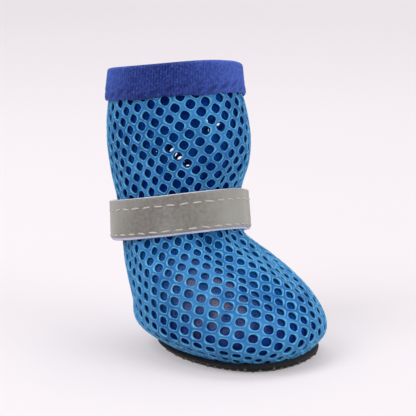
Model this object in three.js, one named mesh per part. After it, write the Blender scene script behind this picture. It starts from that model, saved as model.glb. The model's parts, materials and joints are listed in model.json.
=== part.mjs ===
// Dog boot: an open-mesh fabric bag on an egg-shaped sole, bound at the collar,
// with a reflective tape strap round the ankle.
// Millimetres. +X to the toe, +Y to the wearer's left, +Z up. The origin is on the
// ground under the middle of the sole.
import * as THREE from "three";
import { ParametricGeometry } from "three/addons/geometries/ParametricGeometry.js";
import { mergeVertices } from "three/addons/utils/BufferGeometryUtils.js";

// ---- driving dimensions ---------------------------------------------------
const GAP = 0.3; // clearance between neighbouring pieces
const UPPER_WALL = 1.2; // spacer-mesh fabric
const BINDING_THICK = 0.8; // ribbed tape folded over the collar
const BINDING_LOW = 9.72; // section number where the binding's outer hem ends
const BINDING_LOW_INSIDE = 9.95; // and where its inner hem ends
const STRAP_THICK = 1.0; // reflective tape and its backing
const STRAP_LAP_FROM = 62; // degrees from the toe, on the left side: end of the tape
const STRAP_LAP_TO = 104; // degrees: start of the tape, under the lap
const PAD_THICK = 1.1; // hook-and-loop fastener between the two ends
const TAPE_THICK = 0.8; // tape that covers the back seam
const TAPE_WIDTH = 8.5;
const SOLE_FLOOR = 1.9; // thickness of the sole's flat part
const SOLE_WALL = 1.2; // thickness of its turned-up edge
const SOLE_EDGE = 0.17; // section number where the turned-up edge ends
const INSOLE_THICK = 1.3;
const AROUND = 56; // facets round each ring
const BACK = Math.PI; // ring angle of the back seam; 0 is the toe side

// Cross-sections of the upper's outer face, from the sole seam to the rim.
// back/front: where the ring crosses the middle plane (x, z). half: half width.
// egg: how much wider the front half is. power: 2 is an ellipse, more is squarer.
// bow: how much both sides rise above the tilted ring. roll: how much the right side
// stands higher than the left in the slightly slumped cloth. side: how far the ring
// leans over to the left.
const SECTIONS = [
  { name: "seam",        backX: -23.2, backZ:  2.3, frontX:  23.2, frontZ:  2.3, half: 18.5, egg:  0.20, power: 2.20, bow:  0.0, roll: 0.0, side:  0.0 },
  { name: "heel_bulge",  backX: -31.4, backZ:  9.0, frontX:  27.9, frontZ:  9.0, half: 25.6, egg:  0.10, power: 2.05, bow:  0.0, roll: 0.0, side: -0.8 },
  { name: "toe_dome",    backX: -32.1, backZ: 16.0, frontX:  23.5, frontZ: 17.2, half: 25.8, egg:  0.05, power: 2.05, bow:  0.0, roll: 0.3, side: -0.8 },
  { name: "instep",      backX: -34.0, backZ: 23.2, frontX:  12.4, frontZ: 27.2, half: 23.6, egg:  0.00, power: 2.00, bow:  0.0, roll: 1.2, side: -0.8 },
  { name: "vamp",        backX: -36.3, backZ: 30.2, frontX:   0.6, frontZ: 36.4, half: 19.0, egg: -0.04, power: 2.00, bow: -0.5, roll: 2.4, side: -0.5 },
  { name: "ankle",       backX: -38.2, backZ: 37.0, frontX:  -2.4, frontZ: 44.6, half: 17.5, egg: -0.02, power: 2.05, bow: -0.9, roll: 3.0, side: -0.2 },
  { name: "strap_top",   backX: -39.9, backZ: 43.6, frontX:  -1.5, frontZ: 51.4, half: 17.1, egg:  0.00, power: 2.10, bow: -0.9, roll: 2.9, side:  0.1 },
  { name: "shaft_low",   backX: -42.2, backZ: 51.4, frontX:   1.0, frontZ: 58.9, half: 17.4, egg:  0.00, power: 2.15, bow: -0.9, roll: 2.8, side:  0.4 },
  { name: "shaft_mid",   backX: -43.6, backZ: 59.4, frontX:   1.2, frontZ: 66.4, half: 17.8, egg:  0.00, power: 2.20, bow: -0.9, roll: 2.7, side:  0.7 },
  { name: "shaft_high",  backX: -43.7, backZ: 67.5, frontX:  -0.4, frontZ: 74.0, half: 17.9, egg:  0.00, power: 2.20, bow: -0.9, roll: 2.6, side:  0.9 },
  { name: "collar",      backX: -42.9, backZ: 75.3, frontX:  -2.6, frontZ: 81.0, half: 17.4, egg:  0.00, power: 2.20, bow: -1.1, roll: 2.9, side:  1.1 },
  { name: "rim",         backX: -42.5, backZ: 81.7, frontX:  -3.1, frontZ: 87.5, half: 16.8, egg:  0.00, power: 2.20, bow: -1.2, roll: 3.2, side:  1.2 },
];

// The strap is stiffer than the mesh: its inner face is straight between two edges.
const STRAP_EDGES = [
  { name: "lower", backX: -40.05, backZ: 30.2, frontX: -0.10, frontZ: 38.3, half: 19.7, egg: -0.03, power: 2.05, bow: -0.9, roll: 3.2, side: -0.4 },
  { name: "upper", backX: -41.20, backZ: 42.2, frontX: -1.20, frontZ: 50.4, half: 18.4, egg: -0.01, power: 2.10, bow: -0.8, roll: 2.9, side:  0.0 },
];

// ---- surface functions ----------------------------------------------------
const COLUMNS = ["backX", "backZ", "frontX", "frontZ", "half", "egg", "power", "bow", "roll", "side"];

// A row between the rows of a table: cubic through the rows, straight past the ends.
function rowAt(table, t) {
  const last = table.length - 1;
  const i = Math.min(Math.max(Math.floor(t), 0), last - 1);
  const f = t - i;
  const row = {};
  for (const c of COLUMNS) {
    const p1 = table[i][c], p2 = table[i + 1][c];
    const p0 = i > 0 ? table[i - 1][c] : 2 * p1 - p2;
    const p3 = i + 2 <= last ? table[i + 2][c] : 2 * p2 - p1;
    const m1 = (p2 - p0) / 2, m2 = (p3 - p1) / 2;
    const f2 = f * f, f3 = f2 * f;
    row[c] = (2 * f3 - 3 * f2 + 1) * p1 + (f3 - 2 * f2 + f) * m1 + (3 * f2 - 2 * f3) * p2 + (f3 - f2) * m2;
  }
  return row;
}

// The point at angle a of one tilted, bowed super-ellipse ring.
function ringPoint(row, a) {
  const c = Math.cos(a), s = Math.sin(a);
  const pc = Math.sign(c) * Math.abs(c) ** (2 / row.power);
  const ps = Math.sign(s) * Math.abs(s) ** (2 / row.power);
  const u = (pc + 1) / 2;
  return new THREE.Vector3(
    row.backX + (row.frontX - row.backX) * u,
    row.side + (row.half * ps * (1 + row.egg * pc)) / (1 + 0.5 * row.egg * row.egg),
    row.backZ + (row.frontZ - row.backZ) * u + row.bow * s * s - row.roll * s,
  );
}

const surface = (table, t, a) => ringPoint(rowAt(table, t), a);

// Outward normal and upward tangent of the surface, by small differences.
function frameAt(table, t, a) {
  const h = 1e-3;
  const low = Math.max(t - h, 0), high = Math.min(t + h, table.length - 1);
  const up = surface(table, high, a).sub(surface(table, low, a)).normalize();
  const round = surface(table, t, a + h).sub(surface(table, t, a - h)).normalize();
  return { normal: round.clone().cross(up).normalize(), up };
}

// A point off the surface: out along the normal, rise along the fabric past its edge.
function offSurface(table, t, a, out, rise = 0) {
  const { normal, up } = frameAt(table, t, a);
  return surface(table, t, a).addScaledVector(normal, out).addScaledVector(up, rise);
}

// ---- solids ---------------------------------------------------------------
// Joins equal vertices, drops the empty triangles at poles, faces the body outwards.
function solid(geometry) {
  geometry.deleteAttribute("normal");
  geometry.deleteAttribute("uv");
  const g = mergeVertices(geometry, 1e-4);
  const index = [], at = g.index.array, p = g.attributes.position;
  let volume = 0;
  const A = new THREE.Vector3(), B = new THREE.Vector3(), C = new THREE.Vector3();
  for (let i = 0; i < at.length; i += 3) {
    const [a, b, c] = [at[i], at[i + 1], at[i + 2]];
    if (a === b || b === c || c === a) continue;
    index.push(a, b, c);
    volume += A.fromBufferAttribute(p, a).dot(B.fromBufferAttribute(p, b).cross(C.fromBufferAttribute(p, c)));
  }
  if (volume < 0) for (let i = 0; i < index.length; i += 3) [index[i + 1], index[i + 2]] = [index[i + 2], index[i + 1]];
  g.setIndex(index);
  g.computeVertexNormals();
  return g;
}

// A ring-shaped body: profile is a closed list of functions of the ring angle.
function ringBody(profile, around = AROUND) {
  const n = profile.length;
  return solid(new ParametricGeometry((u, v, target) => {
    const k = Math.round(v * n) % n, a = 2 * Math.PI * ((Math.round(u * around)) % around) / around;
    target.copy(profile[k](a));
  }, around, n));
}

// A plate-shaped body: profile runs from one pole to the other.
function plateBody(profile, around = AROUND) {
  const n = profile.length - 1;
  return solid(new ParametricGeometry((u, v, target) => {
    const a = 2 * Math.PI * ((Math.round(u * around)) % around) / around;
    target.copy(profile[Math.round(v * n)](a));
  }, around, n));
}

// A strip-shaped body: loop(k, s) is corner k of its section at station s (0 to 1).
function stripBody(corners, stations, corner) {
  const rows = stations + 2;
  const middle = (s) => {
    const m = new THREE.Vector3();
    for (let k = 0; k < corners; k++) m.addScaledVector(corner(k, s), 1 / corners);
    return m;
  };
  return solid(new ParametricGeometry((u, v, target) => {
    const row = Math.round(v * rows);
    const k = Math.round(u * corners) % corners;
    if (row === 0) target.copy(middle(0));
    else if (row === rows) target.copy(middle(1));
    else target.copy(corner(k, (row - 1) / stations));
  }, corners, rows));
}

const range = (from, to, steps) => Array.from({ length: steps + 1 }, (_, i) => from + ((to - from) * i) / steps);

function makeUpper() {
  const top = SECTIONS.length - 1;
  const levels = [0, 0.12, 0.35, 0.65, ...range(1, top, 2 * (top - 1))];
  const outer = levels.map((t) => (a) => offSurface(SECTIONS, t, a, 0));
  const inner = [...levels].reverse().map((t) => (a) => offSurface(SECTIONS, t, a, -UPPER_WALL));
  return ringBody([...outer, ...inner]);
}

function makeBinding() {
  const top = SECTIONS.length - 1;
  const out = GAP + BINDING_THICK, inFace = -(UPPER_WALL + GAP), inOut = inFace - BINDING_THICK;
  const on = (t, d, rise = 0) => (a) => offSurface(SECTIONS, t, a, d, rise);
  const outer = range(BINDING_LOW, top, 4), inner = range(top, BINDING_LOW_INSIDE, 3);
  const middle = (GAP - UPPER_WALL - GAP) / 2;
  return ringBody([
    on(BINDING_LOW, GAP),
    ...outer.map((t) => on(t, out)),
    on(top, out * 0.86, 0.7),
    on(top, middle + 0.6, GAP + BINDING_THICK),
    on(top, middle - 0.6, GAP + BINDING_THICK),
    on(top, inOut * 0.93, 0.7),
    ...inner.map((t) => on(t, inOut)),
    on(BINDING_LOW_INSIDE, inFace),
    ...range(BINDING_LOW_INSIDE, top, 3).slice(1, 3).map((t) => on(t, inFace)),
    on(top, inFace, GAP),
    on(top, GAP, GAP),
    ...range(top, BINDING_LOW, 4).slice(1, 4).map((t) => on(t, GAP)),
  ]);
}

// The tape starts under its own free end, goes once round, and laps over the start
// with the fastener between them.
const DEG = Math.PI / 180;
const LAP = (STRAP_LAP_TO - STRAP_LAP_FROM) * DEG;
const strapAngle = (s) => STRAP_LAP_FROM * DEG + s * (2 * Math.PI + LAP);
function strapLift(s) {
  // how far the tape has climbed off its own ring: none until the last stretch
  const climbFrom = 1 - (LAP + 34 * DEG) / (2 * Math.PI + LAP);
  const climbTo = 1 - (LAP + 3 * DEG) / (2 * Math.PI + LAP);
  const f = Math.min(Math.max((s - climbFrom) / (climbTo - climbFrom), 0), 1);
  return (STRAP_THICK + PAD_THICK + 2 * GAP) * f * f * (3 - 2 * f);
}
function makeStrap() {
  const corners = [
    [0.03, 0], [0.5, 0], [0.97, 0], [1, 0.5], [0.97, 1], [0.5, 1], [0.03, 1], [0, 0.5],
  ];
  return stripBody(corners.length, 76, (k, s) => {
    const [v, d] = corners[k];
    return offSurface(STRAP_EDGES, v, strapAngle(s), d * STRAP_THICK + strapLift(s));
  });
}
function makePad() {
  const corners = [[0.1, 0], [0.9, 0], [0.9, 1], [0.1, 1]];
  return stripBody(corners.length, 9, (k, s) => {
    const [v, d] = corners[k];
    const a = (STRAP_LAP_FROM + 3 + s * (STRAP_LAP_TO - STRAP_LAP_FROM - 6)) * DEG;
    return offSurface(STRAP_EDGES, v, a, STRAP_THICK + GAP + d * PAD_THICK);
  });
}

// Seam tape: a strip up the back, its width laid off along the ring.
function makeBackTape() {
  const from = SOLE_EDGE + 0.1, to = BINDING_LOW - 0.06;
  const corners = [[-1, 0.2], [-0.5, 0], [0, 0], [0.5, 0], [1, 0.2], [0.85, 1], [0.3, 1], [-0.3, 1], [-0.85, 1]];
  return stripBody(corners.length, 30, (k, s) => {
    const [side, d] = corners[k];
    const t = from + (to - from) * s;
    const h = 0.02;
    const perRadian = surface(SECTIONS, t, BACK + h).distanceTo(surface(SECTIONS, t, BACK - h)) / (2 * h);
    return offSurface(SECTIONS, t, BACK + (side * TAPE_WIDTH) / 2 / perRadian, GAP + d * TAPE_THICK);
  });
}

function makeSole() {
  const centre = (z) => () => new THREE.Vector3(0, 0, z);
  const flat = (out, z) => (a) => offSurface(SECTIONS, 0, a, out).setZ(z);
  const scaled = (k, z) => (a) => offSurface(SECTIONS, 0, a, -UPPER_WALL).multiplyScalar(k).setZ(z);
  const on = (t, out) => (a) => offSurface(SECTIONS, t, a, out);
  const full = GAP + SOLE_WALL;
  return plateBody([
    centre(0),
    scaled(0.55, 0),
    flat(-1.2, 0),
    flat(0.3, 0.15),
    flat(1.2, 0.6),
    flat(1.95, 1.2),
    on(SOLE_EDGE * 0.6, full),
    on(SOLE_EDGE, full * 0.9),
    on(SOLE_EDGE * 0.98, GAP),
    flat(GAP * 1.5, 2.15),
    flat(GAP * 0.2, SOLE_FLOOR),
    scaled(0.55, SOLE_FLOOR),
    centre(SOLE_FLOOR),
  ]);
}

function makeInsole() {
  const low = SOLE_FLOOR + GAP, high = low + INSOLE_THICK;
  const centre = (z) => () => new THREE.Vector3(0, 0, z);
  const edge = (out, z) => (a) => offSurface(SECTIONS, 0, a, out - UPPER_WALL - GAP).setZ(z);
  const scaled = (k, z) => (a) => offSurface(SECTIONS, 0, a, -UPPER_WALL).multiplyScalar(k).setZ(z);
  return plateBody([
    centre(low), scaled(0.5, low), edge(-0.5, low), edge(-0.2, low + 0.4),
    edge(-0.35, high - 0.3), edge(-1.0, high), scaled(0.5, high), centre(high),
  ]);
}

// ---- assembly -------------------------------------------------------------
const look = (color, roughness, metalness = 0) => new THREE.MeshStandardMaterial({ color, roughness, metalness });
const boot = new THREE.Group();
function add(name, geometry, material) {
  const mesh = new THREE.Mesh(geometry, material);
  mesh.name = name;
  boot.add(mesh);
}
add("upper", makeUpper(), look(0x2a76c4, 0.75));
add("sole", makeSole(), look(0x1b1b1d, 0.85));
add("insole", makeInsole(), look(0x6e6a72, 0.9));
add("collar_binding", makeBinding(), look(0x3346a0, 0.8));
add("strap", makeStrap(), look(0x8f918d, 0.5));
add("hook_and_loop_pad", makePad(), look(0x202022, 0.95));
add("back_tape", makeBackTape(), look(0x3346a0, 0.8));

export default boot;
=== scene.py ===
import bpy, math, json
import numpy as np
from mathutils import Vector, Matrix
from mathutils.bvhtree import BVHTree

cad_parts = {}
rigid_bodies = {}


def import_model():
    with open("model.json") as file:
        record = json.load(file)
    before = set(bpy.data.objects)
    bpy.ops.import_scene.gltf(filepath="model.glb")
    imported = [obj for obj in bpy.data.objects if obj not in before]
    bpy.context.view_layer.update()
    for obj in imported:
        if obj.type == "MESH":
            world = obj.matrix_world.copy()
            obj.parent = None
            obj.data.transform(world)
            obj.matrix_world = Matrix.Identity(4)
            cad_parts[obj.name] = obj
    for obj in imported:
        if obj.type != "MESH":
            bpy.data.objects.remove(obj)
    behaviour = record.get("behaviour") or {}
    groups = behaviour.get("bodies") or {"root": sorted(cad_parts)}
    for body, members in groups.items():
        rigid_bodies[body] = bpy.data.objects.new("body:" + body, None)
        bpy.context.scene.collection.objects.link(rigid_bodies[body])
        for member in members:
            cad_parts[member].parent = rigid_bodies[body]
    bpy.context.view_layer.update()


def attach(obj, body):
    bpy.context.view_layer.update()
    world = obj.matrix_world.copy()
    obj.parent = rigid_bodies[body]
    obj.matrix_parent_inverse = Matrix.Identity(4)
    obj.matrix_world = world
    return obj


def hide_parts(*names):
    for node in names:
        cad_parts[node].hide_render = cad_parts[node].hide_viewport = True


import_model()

MM = 0.001
PI = math.pi

# ---------------------------------------------------------------- named sizes (mm)
UPPER_WALL, GAP = 1.2, 0.3
BINDING_THICK, BINDING_LOW, BINDING_LOW_INSIDE = 0.8, 9.72, 9.95
STRAP_THICK, PAD_THICK = 1.0, 1.1
LAP_FROM, LAP_TO = math.radians(62), math.radians(104)
TAPE_THICK, TAPE_WIDTH = 0.8, 8.5
SOLE_FLOOR, SOLE_WALL, SOLE_EDGE = 1.9, 1.2, 0.17
INSOLE_THICK = 1.3
CELL_W, CELL_ROW, CELL_TURN = 4.5, 2.86, 6.4        # mesh lattice: pitch along a row, row spacing, turn in degrees
RIB_PITCH = 0.85
STITCH_PITCH, STITCH_LONG = 4.0, 2.9
DOT_PITCH = 2.4

COLS = ("backX", "backZ", "frontX", "frontZ", "half", "egg", "power", "bow", "roll", "side")
SECTIONS = np.array([
    # backX  backZ   frontX  frontZ  half    egg     power   bow     roll    side
    (-23.20,   2.30,  23.20,   2.30,  18.50,   0.20,   2.20,   0.00,   0.00,   0.00),   # seam
    (-31.40,   9.00,  27.90,   9.00,  25.60,   0.10,   2.05,   0.00,   0.00,  -0.80),   # heel_bulge
    (-32.10,  16.00,  23.50,  17.20,  25.80,   0.05,   2.05,   0.00,   0.30,  -0.80),   # toe_dome
    (-34.00,  23.20,  12.40,  27.20,  23.60,   0.00,   2.00,   0.00,   1.20,  -0.80),   # instep
    (-36.30,  30.20,   0.60,  36.40,  19.00,  -0.04,   2.00,  -0.50,   2.40,  -0.50),   # vamp
    (-38.20,  37.00,  -2.40,  44.60,  17.50,  -0.02,   2.05,  -0.90,   3.00,  -0.20),   # ankle
    (-39.90,  43.60,  -1.50,  51.40,  17.10,   0.00,   2.10,  -0.90,   2.90,   0.10),   # strap_top
    (-42.20,  51.40,   1.00,  58.90,  17.40,   0.00,   2.15,  -0.90,   2.80,   0.40),   # shaft_low
    (-43.60,  59.40,   1.20,  66.40,  17.80,   0.00,   2.20,  -0.90,   2.70,   0.70),   # shaft_mid
    (-43.70,  67.50,  -0.40,  74.00,  17.90,   0.00,   2.20,  -0.90,   2.60,   0.90),   # shaft_high
    (-42.90,  75.30,  -2.60,  81.00,  17.40,   0.00,   2.20,  -1.10,   2.90,   1.10),   # collar
    (-42.50,  81.70,  -3.10,  87.50,  16.80,   0.00,   2.20,  -1.20,   3.20,   1.20),   # rim
])
STRAP_EDGES = np.array([
    (-40.05,  30.20,  -0.10,  38.30,  19.70,  -0.03,   2.05,  -0.90,   3.20,  -0.40),   # lower
    (-41.20,  42.20,  -1.20,  50.40,  18.40,  -0.01,   2.10,  -0.80,   2.90,   0.00),   # upper
])
TOP = len(SECTIONS) - 1


# ---------------------------------------------------------------- surface functions
def row_at(table, t):
    last = len(table) - 1
    t = np.asarray(t, float)
    i = np.clip(np.floor(t).astype(int), 0, last - 1)
    f = (t - i)[..., None]
    p1, p2 = table[i], table[i + 1]
    p0 = np.where((i > 0)[..., None], table[np.maximum(i - 1, 0)], 2 * p1 - p2)
    p3 = np.where((i + 2 <= last)[..., None], table[np.minimum(i + 2, last)], 2 * p2 - p1)
    m1, m2 = (p2 - p0) / 2, (p3 - p1) / 2
    f2, f3 = f * f, f * f * f
    return (2*f3 - 3*f2 + 1)*p1 + (f3 - 2*f2 + f)*m1 + (3*f2 - 2*f3)*p2 + (f3 - f2)*m2


def ring(row, a):
    bx, bz, fx, fz, half, egg, power, bow, roll, side = [row[..., k] for k in range(10)]
    c, s = np.cos(a), np.sin(a)
    pc = np.sign(c) * np.abs(c) ** (2 / power)
    ps = np.sign(s) * np.abs(s) ** (2 / power)
    u = (pc + 1) / 2
    return np.stack([bx + (fx - bx)*u, side + half*ps*(1 + egg*pc)/(1 + 0.5*egg*egg),
                     bz + (fz - bz)*u + bow*s*s - roll*s], -1)


def surf(table, t, a):
    t, a = np.broadcast_arrays(np.asarray(t, float), np.asarray(a, float))
    return ring(row_at(table, t), a)


def unit(v):
    return v / np.maximum(np.linalg.norm(v, axis=-1, keepdims=True), 1e-12)


def frame_at(table, t, a):
    t, a = np.broadcast_arrays(np.asarray(t, float), np.asarray(a, float))
    h, last = 1e-3, len(table) - 1
    up = unit(surf(table, np.minimum(t + h, last), a) - surf(table, np.maximum(t - h, 0), a))
    rnd = unit(surf(table, t, a + h) - surf(table, t, a - h))
    return unit(np.cross(rnd, up)), up, rnd


# Soft folds of the empty bag, each a line from one (section, degrees) to another:
# depth (mm, negative is a trough) and half width (mm).
CREASES = [
    # t0    a0     t1    a1   depth width
    (4.0, -36.0,  2.3,  -14.0, -2.1, 4.0),
    (4.0,  -8.0,  2.7,   12.0, -1.4, 3.2),
    (4.1, -66.0,  3.0,  -46.0, -1.0, 3.0),
    (4.1, -92.0,  3.2,  -80.0, -0.7, 2.6),
    (4.0,  34.0,  2.8,   22.0, -1.4, 3.4),
    (4.1,  72.0,  3.0,   52.0, -0.9, 3.0),
    (4.0, 118.0,  3.0,  100.0, -1.0, 3.4),
    (4.1, -128.0, 2.8, -112.0, -0.9, 3.6),
    (5.9, -34.0,  7.6,  -46.0, -1.1, 2.8),
    (5.9, -12.0,  7.2,   -4.0, -0.9, 2.6),
    (5.9, -64.0,  6.9,  -70.0, -0.6, 2.4),
    (6.0, -98.0,  7.4,  -86.0, -0.7, 3.0),
    (6.0, -136.0, 7.0, -128.0, -0.7, 3.0),
    (6.0,  60.0,  7.6,   74.0, -1.0, 3.4),
    (6.0, 135.0,  7.5,  122.0, -0.8, 3.2),
    (9.6, -58.0,  8.0,  -66.0, -0.5, 3.6),
    (9.6,  96.0,  7.9,   88.0, -0.6, 3.8),
]
MM_PER_T, MM_PER_RAD = 8.0, 21.0


def crease(t, a):
    t, a = np.broadcast_arrays(np.asarray(t, float), np.asarray(a, float))
    a = (a + PI) % (2*PI) - PI
    out = np.zeros(t.shape)
    for t0, a0, t1, a1, depth, width in CREASES:
        p = np.stack([(t - t0)*MM_PER_T, (a - math.radians(a0))*MM_PER_RAD], -1)
        d = np.array([(t1 - t0)*MM_PER_T, math.radians(a1 - a0)*MM_PER_RAD])
        s = np.clip((p @ d)/(d @ d), 0, 1)
        q = p - s[..., None]*d
        r2 = (q*q).sum(-1)/(width*width)
        fade = 1 - 0.55*s
        out += depth*fade*(np.exp(-r2) - 0.28*np.exp(-(np.sqrt(r2) - 1.9)**2*1.6))
    # the folds die out under the binding, the back tape and the sole's edge
    hold = np.clip((9.7 - t)/0.8, 0, 1)*np.clip((t - 0.3)/1.0, 0, 1)*np.clip((PI - np.abs(a) - 0.30)/0.35, 0, 1)
    strap = 1 - np.exp(-((t - 5.0)/0.72)**2)*0.6
    return np.clip(out*hold*strap, -2.6, 0.30)


def off(table, t, a, out, rise=0.0, folds=False):
    n, up, _ = frame_at(table, t, a)
    p = surf(table, t, a)
    o = np.asarray(out, float)
    if folds:
        o = o + crease(t, a)
    return p + n*np.asarray(o)[..., None] + up*np.asarray(rise, float)[..., None]


# ---------------------------------------------------------------- mesh helpers
def smoothstep(x, lo, hi):
    f = np.clip((x - lo)/(hi - lo), 0, 1)
    return f*f*(3 - 2*f)


def new_object(name, verts, faces, smooth=True):
    me = bpy.data.meshes.new(name)
    me.from_pydata((np.asarray(verts)*MM).tolist(), [], [tuple(int(i) for i in f) for f in faces])
    me.validate()
    me.update()
    if smooth:
        me.polygons.foreach_set("use_smooth", [True]*len(me.polygons))
    ob = bpy.data.objects.new(name, me)
    bpy.context.scene.collection.objects.link(ob)
    return ob


def face_out(ob):
    """Turn a closed mesh's faces outwards."""
    me = ob.data
    import bmesh
    bm = bmesh.new(); bm.from_mesh(me)
    bmesh.ops.recalc_face_normals(bm, faces=bm.faces[:])
    if bm.calc_volume(signed=True) < 0:
        bmesh.ops.reverse_faces(bm, faces=bm.faces[:])
    bm.to_mesh(me); bm.free(); me.update()
    return ob


def attribute(ob, name, values):
    at = ob.data.attributes.new(name, "FLOAT", "POINT")
    at.data.foreach_set("value", np.asarray(values, float))


def grid_faces(rows, cols, wrap_rows=False, wrap_cols=False, base=0):
    r = np.arange(rows if wrap_rows else rows - 1)
    c = np.arange(cols if wrap_cols else cols - 1)
    R, C = np.meshgrid(r, c, indexing="ij")
    R2, C2 = (R + 1) % rows, (C + 1) % cols
    return (np.stack([R*cols + C, R*cols + C2, R2*cols + C2, R2*cols + C], -1).reshape(-1, 4) + base).tolist()


# ---------------------------------------------------------------- laying the flat fabric on the boot
def flatten():
    """The upper cut open at the back seam and laid flat with as little stretch as possible."""
    tt = np.linspace(0, TOP, 41)
    aa = np.linspace(-PI, PI, 65)
    T, A = np.meshgrid(tt, aa, indexing="ij")
    P = surf(SECTIONS, T, A).reshape(-1, 3)
    nt, na = T.shape
    idx = np.arange(nt*na).reshape(nt, na)
    a, b, c, d = idx[:-1, :-1].ravel(), idx[:-1, 1:].ravel(), idx[1:, 1:].ravel(), idx[1:, :-1].ravel()
    flip = ((np.arange(nt - 1)[:, None] + np.arange(na - 1)[None, :]) % 2).ravel().astype(bool)
    t1 = np.where(flip[:, None], np.stack([a, b, d], -1), np.stack([a, b, c], -1))
    t2 = np.where(flip[:, None], np.stack([b, c, d], -1), np.stack([a, c, d], -1))
    tri = np.concatenate([t1, t2])
    p0, p1, p2 = P[tri[:, 0]], P[tri[:, 1]], P[tri[:, 2]]
    e1, e2 = p1 - p0, p2 - p0
    l1 = np.linalg.norm(e1, axis=1)
    x2 = (e1*e2).sum(1)/l1
    y2 = np.linalg.norm(np.cross(e1, e2), axis=1)/l1
    X = np.zeros((len(tri), 3, 2)); X[:, 1, 0] = l1; X[:, 2, 0] = x2; X[:, 2, 1] = y2
    cot = np.zeros((len(tri), 3))          # cot of the angle opposite edge (k, k+1)
    for k in range(3):
        o = X[:, (k + 2) % 3]
        u, v = X[:, k] - o, X[:, (k + 1) % 3] - o
        cot[:, k] = (u*v).sum(1)/np.abs(u[:, 0]*v[:, 1] - u[:, 1]*v[:, 0])
    n = nt*na
    L = np.zeros((n, n))
    for k in range(3):
        i, j, w = tri[:, k], tri[:, (k + 1) % 3], cot[:, k]
        np.add.at(L, (i, i), w); np.add.at(L, (j, j), w)
        np.add.at(L, (i, j), -w); np.add.at(L, (j, i), -w)
    L[0, 0] += 1.0
    Linv = np.linalg.inv(L)
    # start: distance round the ring, and up the front
    G = P.reshape(nt, na, 3)
    du = np.linalg.norm(np.diff(G, axis=1), axis=2); u0 = np.concatenate([np.zeros((nt, 1)), du.cumsum(1)], 1)
    u0 = u0 - u0[:, na//2:na//2 + 1]
    dv = np.linalg.norm(np.diff(G, axis=0), axis=2); v0 = np.concatenate([np.zeros((1, na)), dv.cumsum(0)], 0)
    v0 = v0 - v0[-1:, :]
    U = np.stack([u0.ravel(), v0.ravel()], -1)
    for _ in range(14):
        S = np.zeros((len(tri), 2, 2))
        for k in range(3):
            i, j = tri[:, k], tri[:, (k + 1) % 3]
            eu = U[i] - U[j]; ex = X[:, k] - X[:, (k + 1) % 3]
            S += cot[:, k, None, None]*eu[:, :, None]*ex[:, None, :]
        th = np.arctan2(S[:, 1, 0] - S[:, 0, 1], S[:, 0, 0] + S[:, 1, 1])
        cs, sn = np.cos(th), np.sin(th)
        rhs = np.zeros((n, 2))
        for k in range(3):
            i, j = tri[:, k], tri[:, (k + 1) % 3]
            ex = X[:, k] - X[:, (k + 1) % 3]
            r = np.stack([cs*ex[:, 0] - sn*ex[:, 1], sn*ex[:, 0] + cs*ex[:, 1]], -1)*cot[:, k, None]
            np.add.at(rhs, i, r); np.add.at(rhs, j, -r)
        U = Linv @ rhs
    # upright: the front line of the shaft is vertical, the rim's front at the origin
    g = U.reshape(nt, na, 2)
    f = g[int(nt*0.95), na//2] - g[int(nt*0.62), na//2]
    ang = math.atan2(f[0], f[1])
    R = np.array([[math.cos(ang), -math.sin(ang)], [math.sin(ang), math.cos(ang)]])
    U = (U - g[-1, na//2]) @ R.T
    return U, tri, T.ravel(), A.ravel()


FLAT_U, FLAT_TRI, FLAT_T, FLAT_A = flatten()
FLAT_BVH = BVHTree.FromPolygons([(float(x), float(y), 0.0) for x, y in FLAT_U], FLAT_TRI.tolist())


def on_boot(points):
    """Flat fabric points -> (section, angle, distance outside the cut piece)."""
    t = np.empty(len(points)); a = np.empty(len(points)); dist = np.empty(len(points))
    for n, (x, y) in enumerate(points):
        loc, _, index, d = FLAT_BVH.find_nearest((float(x), float(y), 0.0))
        i, j, k = FLAT_TRI[index]
        A, B, C = FLAT_U[i], FLAT_U[j], FLAT_U[k]
        v0, v1, v2 = B - A, C - A, np.array([loc.x, loc.y]) - A
        den = v0[0]*v1[1] - v1[0]*v0[1]
        b = (v2[0]*v1[1] - v1[0]*v2[1])/den
        c = (v0[0]*v2[1] - v2[0]*v0[1])/den
        w = np.clip([1 - b - c, b, c], 0, 1); w = w/w.sum()
        t[n] = w @ FLAT_T[[i, j, k]]; a[n] = w @ FLAT_A[[i, j, k]]; dist[n] = d
    return t, a, dist


TURN = math.radians(CELL_TURN)
ROT = np.array([[math.cos(TURN), -math.sin(TURN)], [math.sin(TURN), math.cos(TURN)]])
B1 = ROT @ np.array([CELL_W, 0.0])
B2 = ROT @ np.array([CELL_W/2, CELL_ROW])


def cell_border():
    """One honeycomb cell: its border points about its centre, untilted."""
    hx = CELL_W/2
    hy = (CELL_ROW*CELL_ROW - hx*hx)/(2*CELL_ROW)      # from the circumcentre of three neighbours
    corners = [(hx, -hy), (hx, hy), (0, CELL_ROW - hy), (-hx, hy), (-hx, -hy), (0, -(CELL_ROW - hy))]
    steps = [2, 3, 3, 2, 3, 3]
    pts = []
    for k in range(6):
        p, q = np.array(corners[k]), np.array(corners[(k + 1) % 6])
        for s in range(steps[k]):
            pts.append(p + (q - p)*s/steps[k])
    return np.array(pts)


def lattice_cells():
    lo, hi = FLAT_U.min(0) - 5, FLAT_U.max(0) + 5
    inv = np.linalg.inv(np.stack([B1, B2], 1))
    cor = np.array([inv @ np.array(q) for q in ((lo[0], lo[1]), (hi[0], lo[1]), (lo[0], hi[1]), (hi[0], hi[1]))])
    i0, j0 = np.floor(cor.min(0)).astype(int); i1, j1 = np.ceil(cor.max(0)).astype(int)
    I, J = np.meshgrid(np.arange(i0, i1 + 1), np.arange(j0, j1 + 1), indexing="ij")
    C = I.ravel()[:, None]*B1 + J.ravel()[:, None]*B2
    keep = (C > lo).all(1) & (C < hi).all(1)
    C = C[keep]
    _, _, d = on_boot(C)
    return C[d < 3.2]


CELLS = lattice_cells()


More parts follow.
